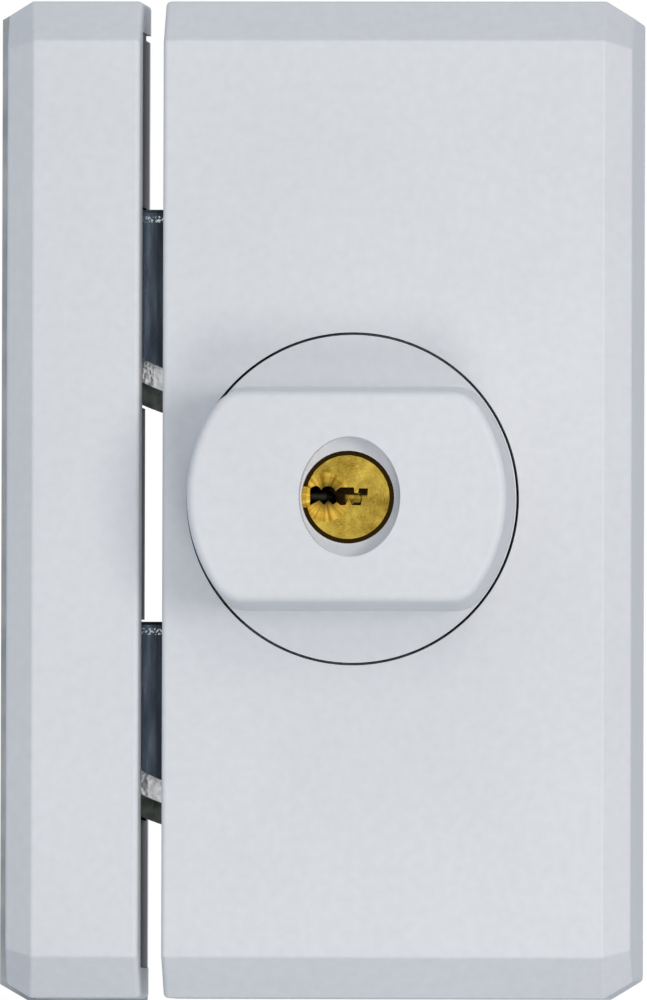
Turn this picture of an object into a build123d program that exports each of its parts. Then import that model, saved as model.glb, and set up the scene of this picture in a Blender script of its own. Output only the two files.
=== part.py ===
from build123d import *
import math
import os

os.makedirs("parts", exist_ok=True)

# A surface-mounted window lock: a case with two hook bolts, and a strike box that the hooks close into.
# X runs right, Z up, and the front faces -Y. The origin is on the mounting plane, on the knob's axis.
# Every depth is measured from the mounting plane towards the front.

# Covers of the case and the strike
lock_height = 153.2
lock_depth = 27.0
case_width = 72.65
knob_to_case_side = 29.3
closing_gap = 3.6
strike_width = 21.25
cover_wall = 2.0
band_height = 6.3
band_depth = 6.5
case_chamfer_width = 4.2
strike_chamfer_width = 4.25
chamfer_depth = 3.5
side_draft = 0.65
case_corner_cut = (4.9, 3.0)
strike_corner_cut = (4.3, 2.5)
corner_drop = 1.2
edge_round = 0.8

# Clearances shared by the pieces
seat_gap = 0.3
face_gap = 0.1
press_gap = 0.02
running_gap = 0.05
window_gap = 0.8

# Layers of the mechanism, by depth
base_thickness = 3.0
boss_rise = 2.2
washer_thickness = 0.5
rear_plate_thickness = 3.0
front_plate_thickness = 3.0
gear_thickness = 3.4
rack_lift_gap = 0.4
bearing_plate_thickness = 2.0
flange_gap = 0.2
flange_thickness = 2.6
knob_disc_thickness = 2.5

# Hook bolts
pivot_x = -21.0
upper_pivot_inset = 33.7
lower_pivot_inset = 56.1
pivot_pin_radius = 3.0
bolt_eye_radius = 5.5
bolt_top = 1.8
bolt_tip_reach = 28.5
rear_plate_radius = 30.8
core_radius = 27.6
front_plate_radius = 24.3
bolt_end_angle = 265.0
plate_edge_chamfer = 0.5
notch_gap = 0.3
notch_sweep = 30.0
rivet_radius = 1.5
rivet_places = ((8.5, 225.0), (21.5, 222.0), (18.5, 250.0))
gear_rivet_radius = 0.7
gear_rivet_circle = 4.3
gear_rivet_count = 3

# Keeper pins of the strike
keeper_x = -38.2
keeper_drop = 4.0
keeper_radius = 3.0
keeper_head_radius = 4.2
keeper_head_height = 0.7

# Gears and rack
gear_module = 1.0
gear_teeth = 16
pressure_angle = math.radians(20.0)
addendum = 0.85
dedendum = 1.15
tooth_thinning = 0.12
tooth_root_sink = 0.4
rack_width = 5.0
rack_reach_below = 22.5
rack_reach_above = 12.1
sector_tooth_first = -5
sector_tooth_last = 1
gap_count_below = 6
gap_count_above = 2

# Knob
knob_radius = 25.2
knob_gap = 0.3
knob_travel = 90.0
grip_base_radius = 25.0
grip_top_radius = 24.5
grip_base_half_height = 17.2
grip_top_half_height = 16.1
grip_height = 16.0
grip_corner_round = 5.0
grip_edge_round = 1.3
grip_wall = 2.2
knob_cavity_radius = 19.0
knob_boss_radius = 11.4
recess_half_width = 7.8
recess_half_height = 9.2
recess_shift = 0.5
recess_depth = 3.9

# Hub behind the knob
flange_radius = 20.0
journal_radius = 11.0
rear_journal_radius = 5.0
rear_journal_end = 0.6
hub_boss_radius = 10.5
hub_boss_rise = 5.2
circlip_recess_radius = 8.6
circlip_recess_depth = 2.2
circlip_thickness = 0.8
circlip_radius = 7.4
circlip_groove = 0.8
hub_screw_circle = 16.5
hub_screw_angles = (30.0, 150.0, 210.0, 330.0)
screw_boss_radius = 3.2
screw_boss_height = 8.0

# Key cylinder
housing_radius = 7.06
plug_radius = 6.4
plug_gap = 0.03
housing_step = 0.5
housing_key_stop = 1.6
bible_end = 14.6
bible_half_width = 2.6
bible_front_step = 1.1
bible_wall = 1.8
pin_count = 4
pin_first_depth = 2.7
pin_spacing = 3.0
pin_radius = 1.2
pin_chamber_gap = 0.05
key_pin_outer = 6.2
key_pin_length = 3.6
key_pin_tip = 0.8
key_pin_travel = 1.0
driver_inner = 6.5
driver_length = 3.0
spring_wire_radius = 0.15
spring_radius = 0.8
spring_turns = 5
chamber_end = 13.6
strip_thickness = 0.8
strip_half_width = 1.5
keyway_depth = 13.6
keyway_humps = ((-5.8, 1.1), (-5.0, 1.7), (-4.1, 1.05), (-3.1, 1.68), (-1.9, 0.9))
keyway_outline = (
    (-1.2, 1.5), (0.95, 1.5), (1.0, 0.67), (1.6, 0.67), (1.7, 1.35), (3.1, 1.35), (3.0, 0.0),
    (2.3, -0.05), (2.0, -1.25), (0.6, -1.25), (0.1, -0.2), (-0.3, -1.2), (-1.1, -1.25),
    (-1.7, -0.75), (-2.3, -1.2), (-3.05, -0.4), (-3.6, -1.2), (-4.4, -0.5), (-5.8, -1.25),
)
key_guide_radius = 3.2
key_guide_depth = 0.5
key_guide_shift = -3.3

# Key locking of the knob: a scroll cam on the plug slides a dog into the bearing plate
pocket_radius = 9.0
pocket_floor = 1.2
cam_radius = 8.7
cam_thickness = 1.1
tail_side = 5.0
cam_screw_head_radius = 3.4
cam_screw_head_height = 1.1
cam_screw_length = 5.0
dog_width = 4.0
dog_thickness = 1.0
dog_inner = 4.4
dog_outer = 15.2
dog_throw = 2.0
nib_circle = 14.0
nib_width = 2.2
nib_length = 2.1
nib_gap = 0.2
follower_radius = 0.75
follower_circle = 5.5

# Posts, screws and mounting holes of the case
post_x = 20.0
post_inset = 20.6
post_radius = 4.0
post_spigot_radius = 2.0
bearing_plate_border_x = 6.0
bearing_plate_border_z = 5.0
bearing_plate_corner = 4.0
screw_radius = 1.5
screw_head_radius = 2.75
screw_head_height = 1.5
screw_length = 8.0
socket_share = 0.45
small_screw_radius = 1.25
small_screw_head_radius = 2.3
small_screw_head_height = 1.2
guide_screw_length = 4.4
hub_screw_length = 7.0
case_mount_x = 14.0
case_mount_inset = 9.6
mount_hole_radius = 2.75
mount_head_radius = 5.0
mount_head_depth = 1.0
lug_length = 7.0
lug_half_height = 3.0
lug_inset = 7.6
lug_rise = 13.0
lug_screw_depth = 10.0
clip_thickness = 0.5
clip_radius = 4.8
clip_groove = 0.6
clip_mouth = 3.0
pin_end_margin = 0.6
pivot_pin_rise = 1.8

# Rack guides
guide_depth = 5.0
left_guide_bottom = 1.0
left_guide_top = 22.0
right_guide_near = 21.0
right_guide_far = 36.0
guide_screw_inset = 4.0

# Strike
base_plate_overhang = 1.7
base_plate_over_height = 0.3
base_plate_thickness = 2.0
strike_end_wall = 4.7
lip_depth = 7.0
chassis_setback = 0.2
chassis_sheet = 1.6
chassis_left = -50.0
chassis_bolt_gap = 1.4
chassis_corner_cut = 5.0
chassis_window_gap = 0.4
wall_notch_depth = 10.0
notch_behind_bolt = 6.0
end_notch = 0.7
strike_mount_x = -44.0
strike_mount_inset = 10.6
driver_access_radius = 5.5
cover_post_x = -43.0
cover_post_inset = 22.6
cover_post_radius = 2.0
retainer_radius = 4.5
retainer_thickness = 0.4
retainer_slit = 0.8

# Places worked out from the sizes above
half_height = lock_height / 2
case_left = -knob_to_case_side
case_right = case_left + case_width
strike_right = case_left - closing_gap
strike_left = strike_right - strike_width
chassis_right = strike_right - chassis_setback
upper_pivot_z = half_height - upper_pivot_inset
lower_pivot_z = lower_pivot_inset - half_height
pivot_heights = (upper_pivot_z, lower_pivot_z)
post_z = half_height - post_inset
case_mount_z = half_height - case_mount_inset
lug_z = half_height - lug_inset
strike_mount_z = half_height - strike_mount_inset
cover_post_z = half_height - cover_post_inset
rack_bottom = lower_pivot_z - rack_reach_below
rack_top = upper_pivot_z + rack_reach_above
boss_front = base_thickness + boss_rise
washer_front = boss_front + washer_thickness
bolt_back = washer_front + seat_gap
core_back = bolt_back + rear_plate_thickness
flange_front = lock_depth - knob_disc_thickness
flange_back = flange_front - flange_thickness
bearing_front = flange_back - flange_gap
bearing_back = bearing_front - bearing_plate_thickness
gear_front = bearing_back - seat_gap
bolt_front = gear_front - gear_thickness
front_plate_back = bolt_front - front_plate_thickness
core_thickness = front_plate_back - core_back
rack_back = bolt_front + rack_lift_gap
grip_front = lock_depth + grip_height
plug_face = grip_front - recess_depth
cylinder_back = flange_front + face_gap
bible_front = plug_face - bible_front_step
pin_depths = [plug_face - pin_first_depth - pin_spacing * place for place in range(pin_count)]
cam_front = cylinder_back - flange_gap
cam_back = cam_front - cam_thickness
dog_back = flange_back + face_gap
dog_front = dog_back + dog_thickness
window_back = bolt_back - window_gap
window_front = bolt_front + window_gap
pitch_radius = gear_module * gear_teeth / 2
tip_radius = pitch_radius + addendum
root_radius = pitch_radius - dedendum
base_circle = pitch_radius * math.cos(pressure_angle)
tooth_pitch = math.pi * gear_module
tooth_step = 360 / gear_teeth
rack_right_line = -pitch_radius
rack_left_line = rack_right_line - rack_width
rack_right_face = rack_right_line + addendum
rack_left_face = rack_left_line - addendum
inner_left = case_left + cover_wall + seat_gap
case_mounts = [(x, z) for x in (-case_mount_x, case_mount_x) for z in (-case_mount_z, case_mount_z)]
post_places = [(x, z) for x in (-post_x, post_x) for z in (-post_z, post_z)]
strike_mounts = [(strike_mount_x, -strike_mount_z), (strike_mount_x, strike_mount_z)]
cover_posts = [(cover_post_x, -cover_post_z), (cover_post_x, cover_post_z)]
keeper_heights = [z - keeper_drop for z in pivot_heights]


def front_plane(depth, x=0.0, z=0.0):
    """A plane parallel to the mounting plane that faces the front, with X right and Z up."""
    return Plane(origin=(x, -depth, z), x_dir=(1, 0, 0), z_dir=(0, -1, 0))


def save(piece, label):
    piece.part.label = label
    export_step(piece.part, f"parts/{label}.step")


def facet(first, second, third, core):
    """The plane through three points, facing away from the core of the form."""
    normal = (second - first).cross(third - first).normalized()
    if normal.dot(first - core) < 0:
        normal = normal * -1
    return Plane(origin=first, x_dir=second - first, z_dir=normal)


def cover_form(flat_x, outer_x, chamfer_width, corner_cut, back, inset):
    """The faceted block of a cover, drawn in by the inset: flat on one side, chamfered on the other."""
    side = math.copysign(1, outer_x - flat_x)
    shoulder_x = outer_x - side * side_draft
    front_x = shoulder_x - side * chamfer_width
    corner_x = outer_x - side * corner_cut[0]
    corner_z = half_height - corner_cut[1]
    front_z = half_height - band_height
    shoulder_y = chamfer_depth - lock_depth
    band_y = band_depth - lock_depth
    core = Vector((flat_x + outer_x) / 2, -lock_depth / 2, 0)
    wall_foot = Vector(outer_x, 0, 0)
    shoulder = Vector(shoulder_x, shoulder_y, 0)
    upward = Vector(0, 0, 1)
    planes = [
        facet(wall_foot, wall_foot + upward, shoulder, core),
        facet(shoulder, shoulder + upward, Vector(front_x, -lock_depth, 0), core),
    ]
    for end in (1, -1):
        band_inner = Vector(flat_x, band_y, end * half_height)
        band_corner = Vector(corner_x, band_y, end * half_height)
        front_corner = Vector(front_x, -lock_depth, end * front_z)
        shoulder_corner = Vector(shoulder_x, shoulder_y, end * (front_z - corner_drop))
        planes.append(facet(band_inner, band_corner, front_corner, core))
        planes.append(facet(front_corner, band_corner, shoulder_corner, core))
    with BuildPart(mode=Mode.PRIVATE) as form:
        with BuildSketch(front_plane(back)):
            with BuildLine():
                Polyline(
                    (flat_x, -half_height),
                    (corner_x, -half_height),
                    (outer_x, -corner_z),
                    (outer_x, corner_z),
                    (corner_x, half_height),
                    (flat_x, half_height),
                    close=True,
                )
            make_face()
            if inset > 0:
                offset(amount=-inset, kind=Kind.INTERSECTION)
        extrude(amount=lock_depth - inset - back)
        for plane in planes:
            split(bisect_by=plane.offset(-inset), keep=Keep.BOTTOM)
    return form.part


def make_screw(shank_radius, length, head_radius, head_height, sunk):
    """A hex-socket screw that points down Z, with the top of its head at the origin."""
    outline = [(0, 0), (head_radius, 0)]
    if not sunk:
        outline.append((head_radius, -head_height))
    outline += [(shank_radius, -head_height), (shank_radius, -length), (0, -length)]
    with BuildPart(mode=Mode.PRIVATE) as screw:
        with BuildSketch(Plane.XZ):
            with BuildLine():
                Polyline(*outline, close=True)
            make_face()
        revolve(axis=Axis.Z)
        with BuildSketch():
            RegularPolygon(radius=head_radius * socket_share, side_count=6)
        extrude(amount=-head_height, mode=Mode.SUBTRACT)
    return screw.part


def make_clip(bore_radius, outer_radius, thickness):
    """A C-shaped retaining ring, lying on XY, with its mouth towards +X."""
    with BuildPart(mode=Mode.PRIVATE) as clip:
        with BuildSketch():
            Circle(outer_radius)
            Circle(bore_radius, mode=Mode.SUBTRACT)
            Rectangle(outer_radius * 2, clip_mouth, align=(Align.MIN, Align.CENTER), mode=Mode.SUBTRACT)
        extrude(amount=thickness)
    return clip.part


def bolt_windows(left_x, right_x, reach, gap):
    """The blocks that cut the bolts' windows through a wall, from a gap above each bolt down to a reach."""
    with BuildPart(mode=Mode.PRIVATE) as windows:
        for z in pivot_heights:
            with BuildSketch(front_plane(window_back)):
                with Locations(((left_x + right_x) / 2, z + bolt_top + gap)):
                    Rectangle(
                        right_x - left_x,
                        reach + bolt_top + gap,
                        align=(Align.CENTER, Align.MAX),
                    )
            extrude(amount=window_front - window_back)
    return windows.part


def flank_point(radius):
    """A point on the upper flank of an involute tooth that points along +X."""
    pitch_half_angle = (tooth_pitch / 2 - tooth_thinning) / (2 * pitch_radius)
    pressure = math.acos(base_circle / radius)
    half_angle = (
        pitch_half_angle + math.tan(pressure_angle) - pressure_angle - math.tan(pressure) + pressure
    )
    return (radius * math.cos(half_angle), radius * math.sin(half_angle))


def make_tooth():
    """One gear tooth with arc flanks through three involute points."""
    upper = [flank_point(radius) for radius in (base_circle, pitch_radius, tip_radius)]
    lower = [(x, -y) for x, y in upper]
    foot_x = root_radius - tooth_root_sink
    with BuildSketch(mode=Mode.PRIVATE) as tooth:
        with BuildLine():
            ThreePointArc(*upper)
            Line(upper[-1], lower[-1])
            ThreePointArc(*reversed(lower))
            Polyline(lower[0], (foot_x, lower[0][1]), (foot_x, upper[0][1]), upper[0])
        make_face()
    return tooth.sketch


def rack_gaps(pitch_line, side, mesh_z):
    """The gaps between the rack's teeth on one side, one of them level with the gear at mesh_z."""
    half_gap = tooth_pitch / 4 + tooth_thinning / 2
    tip_half = half_gap + addendum * math.tan(pressure_angle)
    root_half = half_gap - dedendum * math.tan(pressure_angle)
    tip_x = pitch_line + side * addendum
    root_x = pitch_line - side * dedendum
    with BuildSketch(mode=Mode.PRIVATE) as gaps:
        for step in range(-gap_count_below, gap_count_above + 1):
            z = mesh_z + step * tooth_pitch
            with BuildLine():
                Polyline(
                    (tip_x, z - tip_half),
                    (root_x, z - root_half),
                    (root_x, z + root_half),
                    (tip_x, z + tip_half),
                    close=True,
                )
            make_face()
    return gaps.sketch


def bolt_profile(radius):
    """One bolt layer about its pivot: a sector with an arc-shaped notch that closes on the keeper pin."""
    keeper_reach = pivot_x - keeper_x
    notch_circle = math.hypot(keeper_reach, keeper_drop)
    notch_angle = 180 + math.degrees(math.atan2(keeper_drop, keeper_reach))
    end_x = 2 * radius * math.cos(math.radians(bolt_end_angle))
    end_z = 2 * radius * math.sin(math.radians(bolt_end_angle))
    notch_path = CenterArc((0, 0), notch_circle, notch_angle, -notch_sweep, mode=Mode.PRIVATE)
    with BuildSketch(mode=Mode.PRIVATE) as profile:
        Circle(radius)
        with BuildLine():
            Polyline(
                (-bolt_tip_reach, bolt_top),
                (0, bolt_top),
                (0, 0),
                (end_x, end_z),
                (-bolt_tip_reach, end_z),
                close=True,
            )
        make_face(mode=Mode.INTERSECT)
        Circle(bolt_eye_radius)
        SlotArc(arc=notch_path, height=2 * (keeper_radius + notch_gap), mode=Mode.SUBTRACT)
        Circle(pivot_pin_radius + running_gap, mode=Mode.SUBTRACT)
        for reach, angle in rivet_places:
            with PolarLocations(reach, 1, start_angle=angle):
                Circle(rivet_radius + press_gap, mode=Mode.SUBTRACT)
        with PolarLocations(gear_rivet_circle, gear_rivet_count):
            Circle(gear_rivet_radius + press_gap, mode=Mode.SUBTRACT)
    return profile.sketch


# Case cover: a die-cast shell with the knob's hole in front and the bolts' windows in its left wall
case_block = cover_form(case_left, case_right, case_chamfer_width, case_corner_cut, 0, 0)
case_hollow = cover_form(case_left, case_right, case_chamfer_width, case_corner_cut, 0, cover_wall)
case_windows = bolt_windows(
    case_left - face_gap, case_left + cover_wall + face_gap, rear_plate_radius, window_gap
)
left_screw_planes = [
    Plane(origin=(case_left, -lug_screw_depth, z), x_dir=(0, 0, 1), z_dir=(-1, 0, 0)) for z in (-lug_z, lug_z)
]
with BuildPart() as case_cover:
    add(case_block)
    fillet(case_cover.edges().filter_by(lambda edge: edge.center().Y < -face_gap), radius=edge_round)
    add(case_hollow, mode=Mode.SUBTRACT)
    with BuildSketch(front_plane(lock_depth)):
        Circle(knob_radius + knob_gap)
    extrude(amount=-2 * cover_wall, mode=Mode.SUBTRACT)
    add(case_windows, mode=Mode.SUBTRACT)
    with Locations(*left_screw_planes):
        CounterSinkHole(screw_radius + face_gap, screw_head_radius + face_gap, depth=2 * cover_wall)
save(case_cover, "case_cover")

# Case base: the plate that the window frame's screws hold, with bosses for the pins and the hub
with BuildPart() as case_base:
    add(cover_form(case_left, case_right, case_chamfer_width, case_corner_cut, 0, cover_wall + seat_gap))
    split(bisect_by=front_plane(base_thickness), keep=Keep.BOTTOM)
    with BuildSketch(front_plane(base_thickness)):
        with Locations(*[(pivot_x, z) for z in pivot_heights]):
            Circle(bolt_eye_radius - press_gap)
    extrude(amount=boss_rise)
    with BuildSketch(front_plane(base_thickness)):
        Circle(hub_boss_radius)
    extrude(amount=hub_boss_rise)
    with BuildSketch(front_plane(base_thickness)):
        with Locations(*[(inner_left, z) for z in (-lug_z, lug_z)]):
            Rectangle(lug_length, 2 * lug_half_height, align=(Align.MIN, Align.CENTER))
    extrude(amount=lug_rise)
    with BuildSketch(front_plane(0)):
        with Locations(*[(pivot_x, z) for z in pivot_heights]):
            Circle(pivot_pin_radius + press_gap)
        with Locations(*post_places):
            Circle(post_spigot_radius + press_gap)
        with Locations(*case_mounts):
            Circle(mount_hole_radius)
    extrude(amount=boss_front, mode=Mode.SUBTRACT)
    with BuildSketch(front_plane(0)):
        Circle(rear_journal_radius + running_gap)
    extrude(amount=base_thickness + hub_boss_rise, mode=Mode.SUBTRACT)
    with BuildSketch(front_plane(0)):
        Circle(circlip_recess_radius)
    extrude(amount=circlip_recess_depth, mode=Mode.SUBTRACT)
    with BuildSketch(front_plane(base_thickness)):
        with Locations(*case_mounts):
            Circle(mount_head_radius)
    extrude(amount=-mount_head_depth, mode=Mode.SUBTRACT)
    with Locations(*[plane.offset(-cover_wall - seat_gap) for plane in left_screw_planes]):
        Hole(screw_radius + press_gap, depth=screw_length)
save(case_base, "case_base")

# Cover screws: two sunk screws through the case's left wall, where the closed strike hides them
cover_screw = make_screw(screw_radius, screw_length, screw_head_radius, screw_head_height, sunk=True)
with BuildPart() as cover_screws:
    with Locations(*left_screw_planes):
        add(cover_screw)
save(cover_screws, "cover_screws")

# Bearing plate: carries the front ends of the pivot pins and the hub, and stops the dog
dog_path = CenterArc((0, 0), nib_circle, 0, knob_travel, mode=Mode.PRIVATE)
with BuildPart() as bearing_plate:
    with BuildSketch(front_plane(bearing_back)):
        RectangleRounded(
            2 * (post_x + bearing_plate_border_x),
            2 * (post_z + bearing_plate_border_z),
            bearing_plate_corner,
        )
        Circle(journal_radius + running_gap, mode=Mode.SUBTRACT)
        with Locations(*[(pivot_x, z) for z in pivot_heights]):
            Circle(pivot_pin_radius + press_gap, mode=Mode.SUBTRACT)
        SlotArc(arc=dog_path, height=nib_length + 2 * nib_gap, mode=Mode.SUBTRACT)
        pocket_length = nib_length + dog_throw + 2 * nib_gap
        with PolarLocations(nib_circle + dog_throw / 2, 2, angular_range=knob_travel, endpoint=True):
            Rectangle(pocket_length, nib_width + 2 * nib_gap, mode=Mode.SUBTRACT)
    extrude(amount=bearing_plate_thickness)
    with Locations(front_plane(bearing_front)):
        with Locations(*post_places):
            CounterSinkHole(screw_radius + face_gap, screw_head_radius + face_gap)
        left_guide_x = rack_left_face - face_gap - guide_depth / 2
        right_guide_x = rack_right_face + face_gap + guide_depth / 2
        guide_screw_places = [
            (left_guide_x, left_guide_bottom + guide_screw_inset),
            (left_guide_x, left_guide_top - guide_screw_inset),
            (right_guide_x, right_guide_near + guide_screw_inset),
            (right_guide_x, right_guide_far - guide_screw_inset),
            (right_guide_x, -right_guide_near - guide_screw_inset),
            (right_guide_x, -right_guide_far + guide_screw_inset),
        ]
        with Locations(*guide_screw_places):
            CounterSinkHole(small_screw_radius + face_gap, small_screw_head_radius + face_gap)
save(bearing_plate, "bearing_plate")

# Bearing plate posts: turned posts with a spigot riveted in the base
with BuildPart() as bearing_plate_posts:
    with BuildSketch(front_plane(base_thickness)):
        with Locations(*post_places):
            Circle(post_radius)
    extrude(amount=bearing_back - base_thickness)
    with BuildSketch(front_plane(pin_end_margin)):
        with Locations(*post_places):
            Circle(post_spigot_radius)
    extrude(amount=base_thickness - pin_end_margin)
    with Locations(front_plane(bearing_back)):
        with Locations(*post_places):
            Hole(screw_radius + press_gap, depth=screw_length)
save(bearing_plate_posts, "bearing_plate_posts")

with BuildPart() as bearing_plate_screws:
    with Locations(*[front_plane(bearing_front, x, z) for x, z in post_places]):
        add(cover_screw)
save(bearing_plate_screws, "bearing_plate_screws")

# Pivot pins, with a groove in front for their clips
pin_front = bearing_front + pivot_pin_rise
clip_back = bearing_front + face_gap
for place, pivot_z in (("upper", upper_pivot_z), ("lower", lower_pivot_z)):
    with BuildPart() as pivot_pin:
        with BuildSketch(front_plane(pin_end_margin, pivot_x, pivot_z)):
            Circle(pivot_pin_radius)
        extrude(amount=pin_front - pin_end_margin)
        with BuildSketch(front_plane(clip_back - press_gap, pivot_x, pivot_z)):
            Circle(pivot_pin_radius)
            Circle(pivot_pin_radius - clip_groove, mode=Mode.SUBTRACT)
        extrude(amount=clip_thickness + 2 * press_gap, mode=Mode.SUBTRACT)
    save(pivot_pin, f"{place}_pivot_pin")

pivot_clip = make_clip(pivot_pin_radius - clip_groove + press_gap, clip_radius, clip_thickness)
with BuildPart() as pivot_clips:
    with Locations(*[front_plane(clip_back, pivot_x, z) for z in pivot_heights]):
        add(pivot_clip)
save(pivot_clips, "pivot_clips")

with BuildPart() as pivot_washers:
    with BuildSketch(front_plane(boss_front)):
        with Locations(*[(pivot_x, z) for z in pivot_heights]):
            Circle(bolt_eye_radius - face_gap)
            Circle(pivot_pin_radius + running_gap, mode=Mode.SUBTRACT)
    extrude(amount=washer_thickness)
save(pivot_washers, "pivot_washers")

# Rack guides: three blocks behind the bearing plate, beside the rack's plain lengths
with BuildPart() as rack_guides:
    with BuildSketch(front_plane(rack_back)):
        with Locations((left_guide_x, left_guide_bottom)):
            Rectangle(guide_depth, left_guide_top - left_guide_bottom, align=(Align.CENTER, Align.MIN))
        with Locations((right_guide_x, right_guide_near)):
            Rectangle(guide_depth, right_guide_far - right_guide_near, align=(Align.CENTER, Align.MIN))
        with Locations((right_guide_x, -right_guide_near)):
            Rectangle(guide_depth, right_guide_far - right_guide_near, align=(Align.CENTER, Align.MAX))
    extrude(amount=bearing_back - rack_back)
    guide_hole_depth = guide_screw_length - bearing_plate_thickness + face_gap
    with Locations(front_plane(bearing_back)):
        with Locations(*guide_screw_places):
            Hole(small_screw_radius + press_gap, depth=guide_hole_depth)
save(rack_guides, "rack_guides")

guide_screw = make_screw(
    small_screw_radius, guide_screw_length, small_screw_head_radius, small_screw_head_height, sunk=True
)
with BuildPart() as rack_guide_screws:
    with Locations(*[front_plane(bearing_front, x, z) for x, z in guide_screw_places]):
        add(guide_screw)
save(rack_guide_screws, "rack_guide_screws")

# Drive rack: its right teeth mesh with the pinion and its left teeth with both bolts' sectors
right_gaps = rack_gaps(rack_right_line, 1, 0)
left_gaps = [rack_gaps(rack_left_line, -1, z) for z in pivot_heights]
with BuildPart() as drive_rack:
    with BuildSketch(front_plane(rack_back)):
        with Locations((rack_left_face, rack_bottom)):
            Rectangle(rack_right_face - rack_left_face, rack_top - rack_bottom, align=(Align.MIN, Align.MIN))
        add(right_gaps, mode=Mode.SUBTRACT)
        for gaps in left_gaps:
            add(gaps, mode=Mode.SUBTRACT)
    extrude(amount=gear_front - rack_back)
save(drive_rack, "drive_rack")

# Drive hub: a flange behind the knob, a pinion, and two journals
tooth = make_tooth()
with BuildPart() as drive_hub:
    with BuildSketch(front_plane(flange_back)):
        Circle(flange_radius)
    extrude(amount=flange_thickness)
    with BuildSketch(front_plane(gear_front)):
        Circle(journal_radius)
    extrude(amount=flange_back - gear_front)
    with BuildSketch(front_plane(rack_back)):
        Circle(root_radius)
        with PolarLocations(0, gear_teeth):
            add(tooth)
    extrude(amount=gear_front - rack_back)
    with BuildSketch(front_plane(rear_journal_end)):
        Circle(rear_journal_radius)
    extrude(amount=rack_back - rear_journal_end)
    with BuildSketch(front_plane(gear_front + pocket_floor)):
        Circle(pocket_radius)
    extrude(amount=flange_front - gear_front - pocket_floor, mode=Mode.SUBTRACT)
    with BuildSketch(front_plane(flange_back)):
        with Locations((0, pocket_radius - dog_width / 2)):
            Rectangle(
                dog_width + 2 * face_gap,
                dog_outer + dog_throw + face_gap - pocket_radius + dog_width / 2,
                align=(Align.CENTER, Align.MIN),
            )
    extrude(amount=flange_thickness, mode=Mode.SUBTRACT)
    hub_screw_places = [
        (
            hub_screw_circle * math.cos(math.radians(angle)),
            hub_screw_circle * math.sin(math.radians(angle)),
        )
        for angle in hub_screw_angles
    ]
    hub_screw_planes = [
        Plane(origin=(x, -flange_back, z), x_dir=(1, 0, 0), z_dir=(0, 1, 0)) for x, z in hub_screw_places
    ]
    with Locations(*hub_screw_planes):
        CounterSinkHole(small_screw_radius + face_gap, small_screw_head_radius + face_gap)
    circlip_front = circlip_recess_depth - face_gap
    with BuildSketch(front_plane(circlip_front + press_gap)):
        Circle(rear_journal_radius)
        Circle(rear_journal_radius - circlip_groove, mode=Mode.SUBTRACT)
    extrude(amount=-circlip_thickness - 2 * press_gap, mode=Mode.SUBTRACT)
save(drive_hub, "drive_hub")

hub_clip = make_clip(rear_journal_radius - circlip_groove + press_gap, circlip_radius, circlip_thickness)
with BuildPart() as hub_circlip:
    with Locations(front_plane(circlip_front - circlip_thickness)):
        add(hub_clip)
save(hub_circlip, "hub_circlip")

hub_screw = make_screw(
    small_screw_radius, hub_screw_length, small_screw_head_radius, small_screw_head_height, sunk=True
)
with BuildPart() as hub_screws:
    with Locations(*hub_screw_planes):
        add(hub_screw)
save(hub_screws, "hub_screws")

# Knob: a hollow casting, with a disc level with the case and a grip bar across it
grip_draft = math.degrees(math.atan2(grip_base_radius - grip_top_radius, grip_height))
with BuildPart() as grip:
    with BuildSketch(front_plane(lock_depth)):
        Circle(grip_base_radius)
    extrude(amount=grip_height, taper=grip_draft)
    for side in (1, -1):
        grip_side = facet(
            Vector(0, -lock_depth, side * grip_base_half_height),
            Vector(1, -lock_depth, side * grip_base_half_height),
            Vector(0, -grip_front, side * grip_top_half_height),
            Vector(0, -lock_depth, 0),
        )
        split(bisect_by=grip_side, keep=Keep.BOTTOM)
    corner_edges = grip.edges().filter_by(
        lambda edge: -grip_front + face_gap < edge.center().Y < -lock_depth - face_gap
        and abs(edge.center().Z) > grip_top_half_height - face_gap
    )
    fillet(corner_edges, radius=grip_corner_round)
    fillet(grip.faces().sort_by(Axis.Y)[0].outer_wire().edges(), radius=grip_edge_round)
with BuildPart() as knob:
    add(grip.part)
    with BuildSketch(front_plane(flange_front)):
        Circle(knob_radius)
    extrude(amount=lock_depth - flange_front)
    with BuildSketch(front_plane(flange_front)):
        Circle(knob_cavity_radius)
        Rectangle(
            2 * knob_cavity_radius,
            2 * (grip_top_half_height - grip_wall),
            mode=Mode.INTERSECT,
        )
    extrude(amount=grip_front - grip_wall - flange_front, mode=Mode.SUBTRACT)
    with BuildSketch(front_plane(flange_front)):
        Circle(knob_boss_radius)
        with Locations((-bible_end - bible_wall, 0)):
            Rectangle(
                bible_end + bible_wall,
                2 * (bible_half_width + bible_wall),
                align=(Align.MIN, Align.CENTER),
            )
    extrude(amount=grip_front - grip_wall - flange_front)
    with BuildSketch(front_plane(flange_front)):
        with Locations(*hub_screw_places):
            Circle(screw_boss_radius)
    extrude(amount=screw_boss_height)
    with BuildSketch(front_plane(grip_front)):
        with Locations((recess_shift, 0)):
            Ellipse(recess_half_width, recess_half_height)
    extrude(amount=-recess_depth, mode=Mode.SUBTRACT)
    with BuildSketch(front_plane(flange_front)):
        Circle(housing_radius + running_gap)
    extrude(amount=plug_face - flange_front, mode=Mode.SUBTRACT)
    with BuildSketch(front_plane(flange_front)):
        Rectangle(
            bible_end + running_gap,
            2 * (bible_half_width + running_gap),
            align=(Align.MAX, Align.CENTER),
        )
    extrude(amount=bible_front + running_gap - flange_front, mode=Mode.SUBTRACT)
    with Locations(*[plane.offset(-flange_thickness) for plane in hub_screw_planes]):
        Hole(small_screw_radius + press_gap, depth=hub_screw_length - flange_thickness + face_gap)
save(knob, "knob")

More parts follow.
